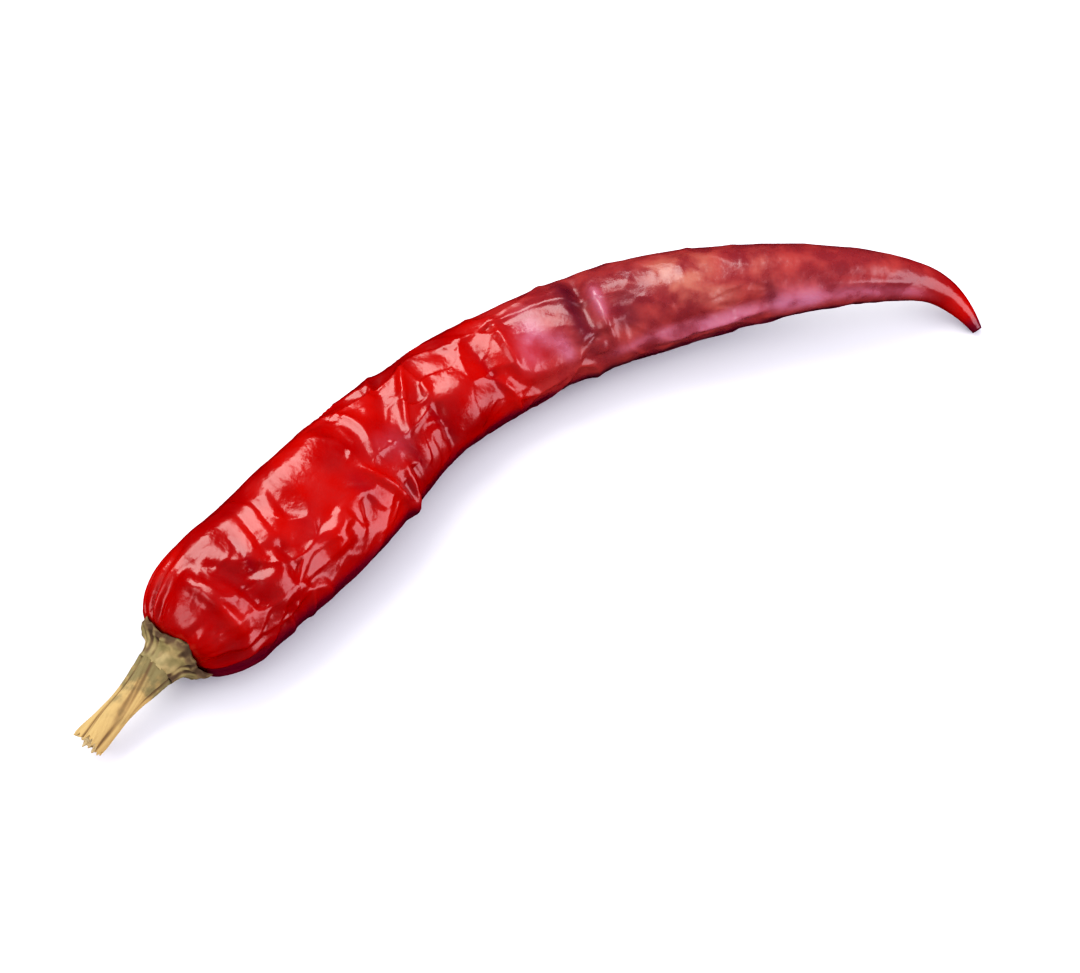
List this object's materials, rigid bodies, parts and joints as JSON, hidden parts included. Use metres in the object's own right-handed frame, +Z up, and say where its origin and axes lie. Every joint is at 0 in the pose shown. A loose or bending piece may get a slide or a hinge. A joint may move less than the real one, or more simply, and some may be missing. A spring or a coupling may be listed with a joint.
{
  "type": "dried chilli pepper",
  "caption": "Whole dried red chilli pepper: a slender curved pod with a hooked tip, its shrivelled calyx and a cut stalk, lying on its side.",
  "frame": {"origin": "on the table, under the middle of the bounding box", "axes": "+X along the longest side, from the stalk towards the hooked tip; +Z up from the table that the chilli lies on"},
  "size_m": [0.065, 0.0408, 0.009],
  "materials": {
    "pod_skin": "glossy, wrinkled, slightly translucent dried chilli skin, bright red at the stem end and dusky brown red on the tail",
    "calyx": "matt, shrivelled olive brown calyx",
    "pedicel": "matt, fibrous straw coloured stalk with lengthwise ribs and a paler cut end"
  },
  "bodies": {
    "root": {"pod": "pod_skin", "calyx": "calyx", "pedicel": "pedicel"}
  },
  "joints": []
}
